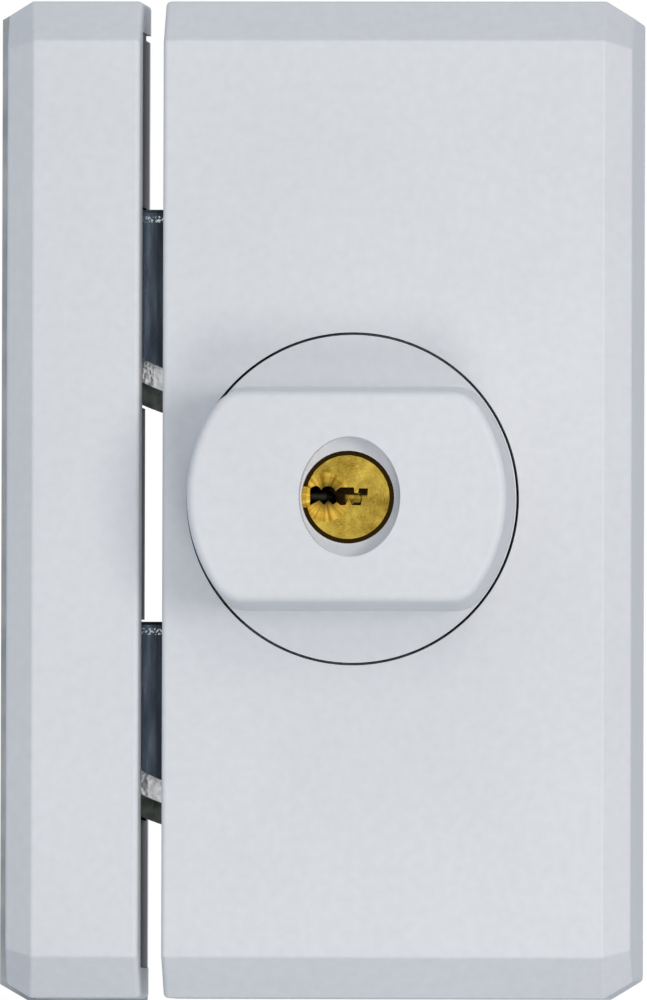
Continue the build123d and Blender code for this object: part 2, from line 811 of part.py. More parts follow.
# Cylinder body: a brass housing with the pin chambers in a block to the left of the plug
chamber_planes = [Plane(origin=(0, -depth, 0), x_dir=(0, 0, 1), z_dir=(-1, 0, 0)) for depth in pin_depths]
strip_back = pin_depths[-1] - pin_radius - strip_thickness
strip_front = pin_depths[0] + pin_radius
with BuildPart() as cylinder_body:
    with BuildSketch(front_plane(cylinder_back)):
        Circle(housing_radius)
    extrude(amount=plug_face - cylinder_back)
    with BuildSketch(front_plane(cylinder_back)):
        Rectangle(bible_end, 2 * bible_half_width, align=(Align.MAX, Align.CENTER))
    extrude(amount=bible_front - cylinder_back)
    with BuildSketch(front_plane(cylinder_back)):
        Circle(plug_radius + plug_gap)
    extrude(amount=plug_face - cylinder_back, mode=Mode.SUBTRACT)
    with BuildSketch(front_plane(plug_face)):
        Circle(housing_radius)
        with Locations((-housing_radius, 0)):
            Rectangle(housing_radius, 2 * housing_key_stop, mode=Mode.SUBTRACT)
    extrude(amount=-housing_step, mode=Mode.SUBTRACT)
    for plane in chamber_planes:
        with BuildSketch(plane.offset(plug_radius)):
            Circle(pin_radius + pin_chamber_gap)
        extrude(amount=chamber_end - plug_radius, mode=Mode.SUBTRACT)
    with BuildSketch(front_plane(strip_back)):
        with Locations((-chamber_end, 0)):
            Rectangle(
                strip_thickness + press_gap,
                2 * (strip_half_width + press_gap),
                align=(Align.MAX, Align.CENTER),
            )
    extrude(amount=strip_front - strip_back + press_gap, mode=Mode.SUBTRACT)
save(cylinder_body, "cylinder_body")

with BuildPart() as chamber_cover:
    with BuildSketch(front_plane(strip_back + press_gap)):
        with Locations((-chamber_end, 0)):
            Rectangle(strip_thickness, 2 * strip_half_width, align=(Align.MAX, Align.CENTER))
    extrude(amount=strip_front - strip_back - press_gap)
save(chamber_cover, "chamber_cover")

# Cylinder plug: a brass bar with the keyway, the key guide's hollow and the pin holes
with BuildPart() as cylinder_plug:
    with BuildSketch(front_plane(cylinder_back)):
        Circle(plug_radius)
    extrude(amount=plug_face - cylinder_back)
    with BuildSketch(front_plane(cam_back)):
        Rectangle(tail_side, tail_side)
    extrude(amount=cylinder_back - cam_back)
    with BuildSketch(front_plane(plug_face)):
        with BuildLine():
            for humps in (keyway_humps[:3], keyway_humps[2:]):
                ThreePointArc(*humps)
            Polyline(keyway_humps[-1], *keyway_outline, keyway_humps[0])
        make_face()
    extrude(amount=-keyway_depth, mode=Mode.SUBTRACT)
    guide_axis = Axis((key_guide_shift, 0, 0), (0, 1, 0))
    with BuildSketch(Plane.XY):
        with BuildLine():
            Polyline(
                (key_guide_shift, -plug_face),
                (key_guide_shift + key_guide_radius, -plug_face),
                (key_guide_shift, -plug_face + key_guide_depth),
                close=True,
            )
        make_face()
    revolve(axis=guide_axis, mode=Mode.SUBTRACT)
    for plane in chamber_planes:
        with BuildSketch(plane.offset(key_pin_outer - key_pin_length - key_pin_travel - pin_chamber_gap)):
            Circle(pin_radius + pin_chamber_gap)
        extrude(amount=plug_radius, mode=Mode.SUBTRACT)
    with Locations(Plane(origin=(0, -cam_back, 0), x_dir=(1, 0, 0), z_dir=(0, 1, 0))):
        Hole(small_screw_radius + press_gap, depth=cam_screw_length)
save(cylinder_plug, "cylinder_plug")

# Key pins and driver pins, parted at the plug's edge, with the springs behind the drivers
with BuildPart(mode=Mode.PRIVATE) as key_pin:
    with BuildSketch(Plane.XZ):
        with BuildLine():
            Polyline(
                (0, key_pin_outer - key_pin_length),
                (pin_radius - key_pin_tip, key_pin_outer - key_pin_length),
                (pin_radius, key_pin_outer - key_pin_length + key_pin_tip),
                (pin_radius, key_pin_outer),
                (0, key_pin_outer),
                close=True,
            )
        make_face()
    revolve(axis=Axis.Z)
with BuildPart() as key_pins:
    with Locations(*chamber_planes):
        add(key_pin.part)
save(key_pins, "key_pins")

with BuildPart() as driver_pins:
    for plane in chamber_planes:
        with BuildSketch(plane.offset(driver_inner)):
            Circle(pin_radius)
        extrude(amount=driver_length)
save(driver_pins, "driver_pins")

spring_start = driver_inner + driver_length + spring_wire_radius + face_gap
spring_length = chamber_end - spring_wire_radius - face_gap - spring_start
with BuildPart(mode=Mode.PRIVATE) as pin_spring:
    with BuildLine() as coil:
        Helix(pitch=spring_length / spring_turns, height=spring_length, radius=spring_radius)
    with BuildSketch(Plane(origin=coil.line @ 0, z_dir=coil.line % 0)):
        Circle(spring_wire_radius)
    sweep(path=coil.line, is_frenet=True)
with BuildPart() as pin_springs:
    with Locations(*[plane.offset(spring_start) for plane in chamber_planes]):
        add(pin_spring.part)
save(pin_springs, "pin_springs")

# Plug cam: a disc with a scroll slot that moves the dog's follower out as the plug turns clockwise
scroll_path = ThreePointArc(
    (0, follower_circle),
    (
        -(follower_circle + dog_throw / 2) * math.sin(math.radians(45)),
        (follower_circle + dog_throw / 2) * math.cos(math.radians(45)),
    ),
    (-follower_circle - dog_throw, 0),
    mode=Mode.PRIVATE,
)
with BuildPart() as plug_cam:
    with BuildSketch(front_plane(cam_back)):
        Circle(cam_radius)
        SlotArc(arc=scroll_path, height=2 * (follower_radius + nib_gap), mode=Mode.SUBTRACT)
        Rectangle(tail_side + 2 * press_gap, tail_side + 2 * press_gap, mode=Mode.SUBTRACT)
    extrude(amount=cam_thickness)
save(plug_cam, "plug_cam")

with BuildPart() as plug_cam_screw:
    with BuildSketch(front_plane(cam_back - cam_screw_head_height)):
        Circle(cam_screw_head_radius)
    extrude(amount=cam_screw_head_height)
    with BuildSketch(front_plane(cam_back)):
        Circle(small_screw_radius)
    extrude(amount=cam_screw_length - face_gap)
    with BuildSketch(front_plane(cam_back - cam_screw_head_height)):
        RegularPolygon(radius=cam_screw_head_radius * socket_share, side_count=6)
    extrude(amount=cam_screw_head_height / 2, mode=Mode.SUBTRACT)
save(plug_cam_screw, "plug_cam_screw")

# Locking dog: slides outwards in the hub's flange; its nib moves into a pocket of the bearing plate
with BuildPart() as locking_dog:
    with BuildSketch(front_plane(dog_back)):
        with Locations((0, dog_inner)):
            Rectangle(dog_width, dog_outer - dog_inner, align=(Align.CENTER, Align.MIN))
    extrude(amount=dog_thickness)
    with BuildSketch(front_plane(bearing_back + nib_gap)):
        with Locations((0, nib_circle)):
            Rectangle(nib_width, nib_length)
    extrude(amount=dog_back - bearing_back - nib_gap)
    with BuildSketch(front_plane(dog_front)):
        with Locations((0, follower_circle)):
            Circle(follower_radius)
    extrude(amount=cam_front - face_gap - dog_front)
save(locking_dog, "locking_dog")

# Hook bolts: two steel plates and a cast core riveted together, with a toothed sector in front
bolt_layers = (
    ("rear_plate", rear_plate_radius, bolt_back, rear_plate_thickness),
    ("core", core_radius, core_back, core_thickness),
    ("front_plate", front_plate_radius, front_plate_back, front_plate_thickness),
)
for place, pivot_z in (("upper", upper_pivot_z), ("lower", lower_pivot_z)):
    for layer, radius, back, thickness in bolt_layers:
        layer_profile = bolt_profile(radius)
        with BuildPart() as bolt_layer:
            with BuildSketch(front_plane(back, pivot_x, pivot_z)):
                add(layer_profile)
            extrude(amount=thickness)
            if layer == "front_plate":
                front_face = bolt_layer.faces().sort_by(Axis.Y)[0]
                chamfer(front_face.outer_wire().edges().filter_by(Axis.X), length=plate_edge_chamfer)
        save(bolt_layer, f"{place}_bolt_{layer}")
    with BuildPart() as bolt_gear:
        with BuildSketch(front_plane(bolt_front, pivot_x, pivot_z)):
            Circle(bolt_eye_radius)
            with BuildLine():
                first_angle = (sector_tooth_first - 0.5) * tooth_step
                sector_angle = (sector_tooth_last - sector_tooth_first + 1) * tooth_step
                rim = CenterArc((0, 0), root_radius, first_angle, sector_angle)
                Polyline(rim @ 1, (0, 0), rim @ 0)
            make_face()
            for step in range(sector_tooth_first, sector_tooth_last + 1):
                add(tooth, rotation=step * tooth_step)
            Circle(pivot_pin_radius + running_gap, mode=Mode.SUBTRACT)
            with PolarLocations(gear_rivet_circle, gear_rivet_count):
                Circle(gear_rivet_radius + press_gap, mode=Mode.SUBTRACT)
        extrude(amount=gear_thickness)
    save(bolt_gear, f"{place}_bolt_gear")
    with BuildPart() as bolt_rivets:
        with BuildSketch(front_plane(bolt_back, pivot_x, pivot_z)):
            for reach, angle in rivet_places:
                with PolarLocations(reach, 1, start_angle=angle):
                    Circle(rivet_radius)
        extrude(amount=bolt_front - bolt_back)
        with BuildSketch(front_plane(bolt_back, pivot_x, pivot_z)):
            with PolarLocations(gear_rivet_circle, gear_rivet_count):
                Circle(gear_rivet_radius)
        extrude(amount=gear_front - bolt_back)
    save(bolt_rivets, f"{place}_bolt_rivets")

# Strike base plate: the flat plate on the sash, a little wider and taller than the cover
plate_left = strike_left - base_plate_overhang
plate_top = half_height + base_plate_over_height
gap_between_bolts = (
    lower_pivot_z + bolt_top - notch_behind_bolt,
    upper_pivot_z - rear_plate_radius + notch_behind_bolt,
)
with BuildPart() as middle_notch:
    with BuildSketch(front_plane(0)):
        with Locations((chassis_right, gap_between_bolts[0])):
            Rectangle(
                chassis_sheet,
                gap_between_bolts[1] - gap_between_bolts[0],
                align=(Align.MAX, Align.MIN),
            )
        with Locations((chassis_right, half_height - strike_end_wall - seat_gap - end_notch)):
            Rectangle(chassis_sheet, half_height, align=(Align.MAX, Align.MIN))
    extrude(amount=wall_notch_depth)
with BuildPart() as strike_base_plate:
    with BuildSketch(front_plane(0)):
        with BuildLine():
            Polyline(
                (chassis_right, -plate_top),
                (plate_left + strike_corner_cut[0], -plate_top),
                (plate_left, -plate_top + strike_corner_cut[1]),
                (plate_left, plate_top - strike_corner_cut[1]),
                (plate_left + strike_corner_cut[0], plate_top),
                (chassis_right, plate_top),
                close=True,
            )
        make_face()
        with Locations(*strike_mounts):
            Circle(mount_hole_radius, mode=Mode.SUBTRACT)
    extrude(amount=base_plate_thickness)
    add(middle_notch.part, mode=Mode.SUBTRACT)
save(strike_base_plate, "strike_base_plate")

# Strike chassis: a bent steel channel whose right wall has the bolts' windows
chassis_back = base_plate_thickness
chassis_front = bolt_front + chassis_bolt_gap + chassis_sheet
chassis_depth = chassis_front - chassis_back
chassis_half_height = half_height - strike_end_wall - face_gap
bolt_reach_at_chassis = math.sqrt(rear_plate_radius**2 - (pivot_x - chassis_right) ** 2)
chassis_windows = bolt_windows(
    chassis_right - chassis_sheet - face_gap,
    chassis_right + face_gap,
    bolt_reach_at_chassis + chassis_window_gap,
    chassis_window_gap,
)
keeper_places = [(keeper_x, z) for z in keeper_heights]
with BuildPart() as strike_chassis:
    with BuildSketch(front_plane(chassis_back)):
        with BuildLine():
            Polyline(
                (chassis_right, -chassis_half_height),
                (chassis_left + chassis_corner_cut, -chassis_half_height),
                (chassis_left, -chassis_half_height + chassis_corner_cut),
                (chassis_left, chassis_half_height - chassis_corner_cut),
                (chassis_left + chassis_corner_cut, chassis_half_height),
                (chassis_right, chassis_half_height),
                close=True,
            )
        make_face()
    extrude(amount=chassis_depth)
    with BuildSketch(front_plane(chassis_back + chassis_sheet)):
        with Locations((chassis_right - chassis_sheet, 0)):
            Rectangle(strike_width, lock_height, align=(Align.MAX, Align.CENTER))
    extrude(amount=chassis_depth - 2 * chassis_sheet, mode=Mode.SUBTRACT)
    with BuildSketch(front_plane(chassis_back)):
        with Locations(*strike_mounts):
            Circle(mount_hole_radius)
        with Locations(*keeper_places):
            Circle(keeper_radius + press_gap)
    extrude(amount=chassis_sheet, mode=Mode.SUBTRACT)
    with BuildSketch(front_plane(chassis_front)):
        with Locations(*strike_mounts):
            Circle(driver_access_radius)
        with Locations(*keeper_places):
            Circle(keeper_radius + press_gap)
        with Locations(*cover_posts):
            Circle(cover_post_radius + face_gap)
    extrude(amount=-chassis_sheet, mode=Mode.SUBTRACT)
    add(chassis_windows, mode=Mode.SUBTRACT)
    add(middle_notch.part, mode=Mode.SUBTRACT)
save(strike_chassis, "strike_chassis")

# Keeper pins: headed pins across the chassis that the hooks close around
for place, keeper_z in zip(("upper", "lower"), keeper_heights):
    with BuildPart() as keeper_pin:
        with BuildSketch(front_plane(chassis_back, keeper_x, keeper_z)):
            Circle(keeper_radius)
        extrude(amount=chassis_depth)
        with BuildSketch(front_plane(chassis_front, keeper_x, keeper_z)):
            Circle(keeper_head_radius)
        extrude(amount=keeper_head_height)
    save(keeper_pin, f"{place}_keeper_pin")

# Strike cover: a shell open towards the case below its lip, with two posts that snap into the chassis
strike_shape = (strike_right, strike_left, strike_chamfer_width, strike_corner_cut, base_plate_thickness)
strike_block = cover_form(*strike_shape, 0)
strike_hollow = cover_form(*strike_shape, cover_wall)
with BuildPart() as strike_cover:
    add(strike_block)
    fillet(
        strike_cover.edges().filter_by(lambda edge: edge.center().Y < -base_plate_thickness - face_gap),
        radius=edge_round,
    )
    with BuildPart(mode=Mode.PRIVATE) as room:
        add(strike_hollow)
        with BuildSketch(front_plane(base_plate_thickness)):
            with Locations((strike_right + face_gap, 0)):
                Rectangle(
                    2 * cover_wall,
                    2 * (half_height - strike_end_wall),
                    align=(Align.MAX, Align.CENTER),
                )
        extrude(amount=lock_depth - lip_depth - base_plate_thickness)
        with BuildSketch(front_plane(base_plate_thickness)):
            with Locations(((strike_left + strike_right) / 2, 0)):
                Rectangle(2 * strike_width, 2 * (half_height - strike_end_wall))
        extrude(amount=lock_depth, mode=Mode.INTERSECT)
    add(room.part, mode=Mode.SUBTRACT)
    with BuildSketch(front_plane(chassis_front - 2 * chassis_sheet)):
        with Locations(*cover_posts):
            Circle(cover_post_radius)
    extrude(amount=lock_depth - cover_wall / 2 - chassis_front + 2 * chassis_sheet)
save(strike_cover, "strike_cover")

# Retainers: toothed push-on washers behind the chassis's front web that grip the cover's posts
with BuildPart() as strike_cover_retainers:
    with BuildSketch(front_plane(chassis_front - chassis_sheet)):
        with Locations(*cover_posts):
            Circle(retainer_radius)
            Circle(cover_post_radius + press_gap, mode=Mode.SUBTRACT)
            Rectangle(retainer_slit, 3 * cover_post_radius, mode=Mode.SUBTRACT)
    extrude(amount=-retainer_thickness)
save(strike_cover_retainers, "strike_cover_retainers")
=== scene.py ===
import math

import bpy
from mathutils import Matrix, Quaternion, Vector


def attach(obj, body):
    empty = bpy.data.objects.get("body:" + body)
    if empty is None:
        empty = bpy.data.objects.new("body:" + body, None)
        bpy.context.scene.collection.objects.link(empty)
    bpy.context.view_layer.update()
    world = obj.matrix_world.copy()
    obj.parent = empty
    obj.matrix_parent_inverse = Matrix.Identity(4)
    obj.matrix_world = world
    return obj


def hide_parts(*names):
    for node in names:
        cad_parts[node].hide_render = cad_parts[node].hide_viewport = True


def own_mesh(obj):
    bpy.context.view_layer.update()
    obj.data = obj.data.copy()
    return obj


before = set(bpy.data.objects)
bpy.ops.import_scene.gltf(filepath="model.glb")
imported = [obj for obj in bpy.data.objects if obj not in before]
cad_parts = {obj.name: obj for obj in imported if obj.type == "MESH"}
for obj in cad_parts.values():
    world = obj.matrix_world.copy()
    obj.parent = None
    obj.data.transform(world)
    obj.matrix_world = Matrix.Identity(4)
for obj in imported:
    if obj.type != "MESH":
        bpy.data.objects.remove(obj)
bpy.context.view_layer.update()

mm = 0.001

# Camera: a long lens a few metres away, a little to the right of the lock and below its middle,
# so the case's right wall just shows, as in a catalogue picture taken almost square on.
camera_distance = 4.7
camera_azimuth = math.radians(3.6)
camera_elevation = math.radians(-1.25)
camera_roll = math.radians(0.16)
aim = Vector((-0.00533, -0.0135, 0.00011))
pixels_per_metre = 6500
picture_height = 1000 / pixels_per_metre
towards_camera = Vector((
    math.sin(camera_azimuth) * math.cos(camera_elevation),
    -math.cos(camera_azimuth) * math.cos(camera_elevation),
    math.sin(camera_elevation),
))
lens = bpy.data.cameras.new("catalogue_lens")
lens.lens = lens.sensor_width * camera_distance / picture_height
lens.clip_end = 40.0
camera = bpy.data.objects.new("catalogue_camera", lens)
camera.location = aim + towards_camera * camera_distance
camera.rotation_mode = "QUATERNION"
camera.rotation_quaternion = (
    (-towards_camera).to_track_quat("-Z", "Y") @ Quaternion((0, 0, 1), camera_roll)
)
bpy.context.scene.collection.objects.link(camera)
bpy.context.scene.camera = camera


# Shaders: short ways to write the nodes that the finishes below share.
# Each one takes the material first, and gives back the socket that carries its result.
def linear(hex_colour):
    """An sRGB hex colour as Blender's linear colour."""
    channels = [int(hex_colour[place:place + 2], 16) / 255 for place in (1, 3, 5)]
    return [c / 12.92 if c <= 0.04045 else ((c + 0.055) / 1.055) ** 2.4 for c in channels] + [1.0]


def add_node(material, kind, inputs=None, **settings):
    """Adds a shader node with its settings; an input is a value, or a socket to link from."""
    node = material.node_tree.nodes.new(kind)
    for name, value in settings.items():
        setattr(node, name, value)
    for name, value in (inputs or {}).items():
        if isinstance(value, bpy.types.NodeSocket):
            material.node_tree.links.new(value, node.inputs[name])
        else:
            node.inputs[name].default_value = value
    return node


def start_finish(name):
    """An empty material, and the object coordinates to lay it out by."""
    material = bpy.data.materials.new(name)
    material.use_nodes = True
    material.node_tree.nodes.clear()
    return material, add_node(material, "ShaderNodeTexCoord").outputs["Object"]


def end_finish(material, **inputs):
    """Ends a material with its surface shader; an underscore stands for a space in an input's name."""
    inputs = {name.replace("_", " "): value for name, value in inputs.items()}
    surface = add_node(material, "ShaderNodeBsdfPrincipled", inputs)
    add_node(material, "ShaderNodeOutputMaterial", {"Surface": surface.outputs[0]})


def give(material, *names):
    """Puts a material on CAD nodes."""
    for name in names:
        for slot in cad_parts[name].material_slots:
            slot.material = material


def noise(material, place, size, detail, distortion=0.0):
    """A noise whose grains are some size across."""
    inputs = {"Vector": place, "Scale": 1 / size, "Detail": detail, "Distortion": distortion}
    return add_node(material, "ShaderNodeTexNoise", inputs).outputs["Fac"]


def streaks(material, place, sizes, detail):
    """A noise whose grains have a size of their own along X, Y and Z."""
    stretched = add_node(
        material, "ShaderNodeMapping", {"Vector": place, "Scale": [1 / size for size in sizes]}
    )
    return noise(material, stretched.outputs[0], 1.0, detail)


def sectors(material, bearing, scale, detail):
    """A noise over the bearing round an axis."""
    inputs = {"W": bearing, "Scale": scale, "Detail": detail}
    return add_node(material, "ShaderNodeTexNoise", inputs, noise_dimensions="1D").outputs["Fac"]


def tones(material, factor, low, high, start=0.3, end=0.7):
    """A colour that runs from low to high as the factor runs from start to end."""
    node = add_node(material, "ShaderNodeValToRGB", {"Fac": factor})
    for element, position, colour in zip(node.color_ramp.elements, (start, end), (low, high)):
        element.position = position
        element.color = linear(colour)
    return node.outputs["Color"]


def spread(material, value, start, end, low=0.0, high=1.0):
    """A value that runs from low to high as the given one runs from start to end."""
    inputs = {"Value": value, "From Min": start, "From Max": end, "To Min": low, "To Max": high}
    return add_node(material, "ShaderNodeMapRange", inputs).outputs["Result"]


def work_out(material, operation, *values):
    """One step of arithmetic on up to three values."""
    return add_node(material, "ShaderNodeMath", dict(enumerate(values)), operation=operation).outputs[0]


def blend(material, factor, first, second):
    """A value between two others."""
    inputs = {0: factor, 2: first, 3: second}
    return add_node(material, "ShaderNodeMix", inputs, data_type="FLOAT").outputs[0]


def blend_colours(material, factor, first, second):
    """A colour between two others."""
    inputs = {0: factor, 6: first, 7: second}
    return add_node(material, "ShaderNodeMix", inputs, data_type="RGBA").outputs[2]


def bump(material, height, strength, distance, **below):
    """The normal over a surface's small relief."""
    inputs = {"Height": height, "Strength": strength, "Distance": distance, **below}
    return add_node(material, "ShaderNodeBump", inputs).outputs["Normal"]


def split(material, vector):
    """A vector's three parts."""
    return add_node(material, "ShaderNodeSeparateXYZ", {0: vector}).outputs


def round_y(material, spot):
    """A place's distance from the Y axis, and its bearing round it."""
    flat = add_node(material, "ShaderNodeCombineXYZ", {"X": spot["X"], "Z": spot["Z"]})
    length = add_node(material, "ShaderNodeVectorMath", {0: flat.outputs[0]}, operation="LENGTH")
    return length.outputs["Value"], work_out(material, "ARCTAN2", spot["Z"], spot["X"])


# Covers and knob: zinc die castings with a white polyester powder coat, baked on.
# The coat rounds every edge, dulls the shine and leaves a fine grain like eggshell.
powder_coat, place = start_finish("powder_coat_white")
# Orange peel about 1.6 mm across and a grain of 0.3 mm, the coat's own texture
peel = noise(powder_coat, place, 1.6 * mm, 1.0)
grain = noise(powder_coat, place, 0.3 * mm, 1.0)
# Handling leaves the coat a trace uneven over some 40 mm, and its peel a trace mottled
cloud = noise(powder_coat, place, 40 * mm, 3.0)
mottle = blend(powder_coat, 0.45, cloud, peel)
coat_colour = tones(powder_coat, mottle, "#d7d9dd", "#dfe1e5")
# Painted shade: the knob's rim and the hole it turns in, radii 25.2 and 25.5 mm, are painted near black,
# standing in for the shade in the narrow gap between them
rim_middle = 25.35 * mm
rim_reach = 0.2 * mm
radius = round_y(powder_coat, split(powder_coat, place))[0]
painted_gap_shade = work_out(powder_coat, "COMPARE", radius, rim_middle, rim_reach)
peel_normal = bump(powder_coat, peel, 0.35, 0.03 * mm)
end_finish(
    powder_coat,
    # The near-black here is painted shade in the knob's gap
    Base_Color=blend_colours(powder_coat, painted_gap_shade, coat_colour, linear("#121316")),
    Roughness=spread(powder_coat, peel, 0.3, 0.7, 0.42, 0.5),
    Specular_IOR_Level=0.2,
    IOR=1.5,
    Normal=bump(powder_coat, grain, 0.5, 0.02 * mm, Normal=peel_normal),
)
give(powder_coat, "case_cover", "strike_cover", "knob")

# Case base, rack guides and hub: bare die-cast zinc as it leaves the tool.
# The skin is bright and satin, with faint flow marks and a grain from the die.
cast_zinc, place = start_finish("cast_zinc_bare")
flow = noise(cast_zinc, place, 12 * mm, 6.0, distortion=0.8)
skin = noise(cast_zinc, place, 0.5 * mm, 3.0)
end_finish(
    cast_zinc,
    Base_Color=tones(cast_zinc, flow, "#a3a5a8", "#bdbfc1"),
    Metallic=1.0,
    Roughness=spread(cast_zinc, flow, 0.3, 0.7, 0.52, 0.42),
    Normal=bump(cast_zinc, skin, 0.6, 0.06 * mm),
)
give(cast_zinc, "case_base", "rack_guides", "drive_hub")

# Bearing plate, pins, rack, gears, screws and strike base plate: steel with a clear zinc plating.
# Plating gives a cool bright satin with a slight bluish bloom over the milled surface.
zinc_plate, place = start_finish("zinc_plated_steel")
bloom = noise(zinc_plate, place, 9 * mm, 4.0)
milled = streaks(zinc_plate, place, (0.25 * mm, 0.25 * mm, 6 * mm), 2.0)
end_finish(
    zinc_plate,
    Base_Color=tones(zinc_plate, bloom, "#8f969c", "#b4b8b8"),
    Metallic=1.0,
    Roughness=spread(zinc_plate, milled, 0.3, 0.7, 0.28, 0.42),
    Normal=bump(zinc_plate, milled, 0.3, 0.01 * mm),
)
give(
    zinc_plate, "bearing_plate", "bearing_plate_posts", "bearing_plate_screws", "cover_screws",
    "upper_pivot_pin", "lower_pivot_pin", "pivot_washers", "rack_guide_screws", "drive_rack", "hub_screws",
    "plug_cam", "locking_dog", "upper_bolt_gear", "lower_bolt_gear", "upper_bolt_rivets",
    "lower_bolt_rivets", "upper_keeper_pin", "lower_keeper_pin", "strike_base_plate",
)

# Clips, circlip, pin springs and push-on retainers: hardened spring steel, oiled.
# Hardening leaves it brown-grey and smooth, so it catches thin sharp lights.
spring_steel, place = start_finish("spring_steel_oiled")
oil = noise(spring_steel, place, 2 * mm, 3.0)
end_finish(
    spring_steel,
    Base_Color=tones(spring_steel, oil, "#5a5550", "#7d7b78", 0.35, 0.65),
    Metallic=1.0,
    Roughness=spread(spring_steel, oil, 0.3, 0.7, 0.22, 0.34),
)
give(spring_steel, "pivot_clips", "hub_circlip", "pin_springs", "strike_cover_retainers")

# Driver pin springs: the CAD's coils as a piece of their own.
# They reach 4 mm in from the chamber's end.
driver_springs = bpy.data.objects.new("driver_springs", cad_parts["pin_springs"].data.copy())
bpy.context.scene.collection.objects.link(driver_springs)
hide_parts("pin_springs")
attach(driver_springs, "knob_body")
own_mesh(driver_springs)

# Key cylinder and plug: free-cutting brass, faced on a lathe.
# The tool leaves fine rings round the axis, and keys have rubbed a warm fan round the keyway's mouth.
turned_brass, place = start_finish("turned_brass")
spot = split(turned_brass, place)
radius, bearing = round_y(turned_brass, spot)
# The tool's marks run round the plug's axis, 0.1 mm apart and some 8 degrees long
mark_spacing = 0.1 * mm
marks_per_radian = 7.5
feed = work_out(turned_brass, "MULTIPLY", radius, 1 / mark_spacing)
run = work_out(turned_brass, "MULTIPLY", bearing, marks_per_radian)
along = add_node(turned_brass, "ShaderNodeCombineXYZ", {"X": feed, "Y": run})
marks = noise(turned_brass, along.outputs[0], 1.0, 3.0)
tarnish = noise(turned_brass, place, 2.2 * mm, 6.0)
# Painted sheen: the face's colour is lighter and darker in sectors, each some 40 degrees wide, standing in
# for the turned face's highlights
painted_sheen = sectors(turned_brass, bearing, 1.5, 1.0)
# Tarnish and tool marks, with the painted sheen mixed in
wear_and_painted_sheen = blend(turned_brass, 0.3, blend(turned_brass, 0.55, tarnish, marks), painted_sheen)
face_colour = tones(turned_brass, wear_and_painted_sheen, "#6e530e", "#e9c95a", 0.36, 0.66)
# The key's fan: rays round a point 3.5 mm left of the axis, 3.8 mm long, each some 18 degrees wide
fan_shift = 3.5 * mm
from_mouth = add_node(
    turned_brass, "ShaderNodeVectorMath", {0: place, 1: (fan_shift, 0.0, 0.0)}, operation="ADD"
)
reach, ray_bearing = round_y(turned_brass, split(turned_brass, from_mouth.outputs[0]))
fan = spread(turned_brass, reach, 3.85 * mm, 3.7 * mm)
rays = sectors(turned_brass, ray_bearing, 3.2, 1.5)
ray_colour = tones(turned_brass, rays, "#a17a20", "#e0b84e", 0.38, 0.62)
rubbed_colour = blend_colours(turned_brass, fan, face_colour, ray_colour)
# Painted shade below the faces, which lie 39 mm out: the ring round the plug, the keyway's left half, and
# its right half more than 0.55 mm above or below the middle are painted dark brown, standing in for the
# shade there
face_depth = -39.0 * mm
plug_radius = 6.3 * mm
sunk = spread(turned_brass, spot["Y"], face_depth, face_depth + 0.3 * mm)
left_half = spread(turned_brass, spot["X"], 0.0, -1.2 * mm)
from_middle = work_out(turned_brass, "ABSOLUTE", spot["Z"])
corners = spread(turned_brass, from_middle, 0.45 * mm, 0.65 * mm, 0.3, 1.0)
ring = work_out(turned_brass, "GREATER_THAN", radius, plug_radius)
shaded_zones = work_out(turned_brass, "MAXIMUM", work_out(turned_brass, "MAXIMUM", left_half, corners), ring)
painted_keyway_shade = work_out(turned_brass, "MULTIPLY", sunk, shaded_zones)
# The face is worn dull in patches, and the broached keyway below it is bright
dull = spread(turned_brass, wear_and_painted_sheen, 0.3, 0.7, 0.42, 0.2)
lathe_axis = add_node(turned_brass, "ShaderNodeTangent", direction_type="RADIAL", axis="Y")
end_finish(
    turned_brass,
    # The dark brown is painted shade in the ring and the keyway
    Base_Color=blend_colours(turned_brass, painted_keyway_shade, rubbed_colour, linear("#2c200c")),
    Metallic=1.0,
    Roughness=blend(turned_brass, sunk, dull, 0.12),
    Anisotropic=0.5,
    Tangent=lathe_axis.outputs["Tangent"],
    Normal=bump(turned_brass, marks, 0.6, 0.02 * mm),
)
give(turned_brass, "cylinder_body", "cylinder_plug", "chamber_cover", "plug_cam_screw")

# Key pins and driver pins: drawn nickel silver, a pale brass with nickel in it.
# Its colour is painted dark grey as painted shade, for the pins deep inside the keyway.
pin_metal_painted_shade, place = start_finish("nickel_silver_drawn")
drawn = streaks(pin_metal_painted_shade, place, (4 * mm, 0.15 * mm, 0.15 * mm), 2.0)
end_finish(
    pin_metal_painted_shade,
    Base_Color=tones(pin_metal_painted_shade, drawn, "#1f1d1a", "#393630", 0.0, 1.0),
    Metallic=1.0,
    Roughness=0.45,
)
give(pin_metal_painted_shade, "key_pins", "driver_pins")

# Hook bolts, front plates: hardened steel, tumbled and blued.
# The oxide is a dark slate blue that wears to grey steel in streaks where the hooks rub.
blued_steel, place = start_finish("blued_hardened_steel")
spot = split(blued_steel, place)
rolled = streaks(blued_steel, place, (1.2 * mm, 1.2 * mm, 9 * mm), 5.0)
pits = noise(blued_steel, place, 0.35 * mm, 2.0)
oxide_colour = tones(blued_steel, rolled, "#4b5766", "#7d8b9a", 0.3, 0.72)
# Painted shade from the case: the part inside the case is painted darker, from 32.6 to 30.8 mm left of the
# knob's axis
painted_case_shade = spread(blued_steel, spot["X"], -32.6 * mm, -30.8 * mm, 0.0, 0.85)
case_shaded_colour = blend_colours(blued_steel, painted_case_shade, oxide_colour, linear("#1e2125"))
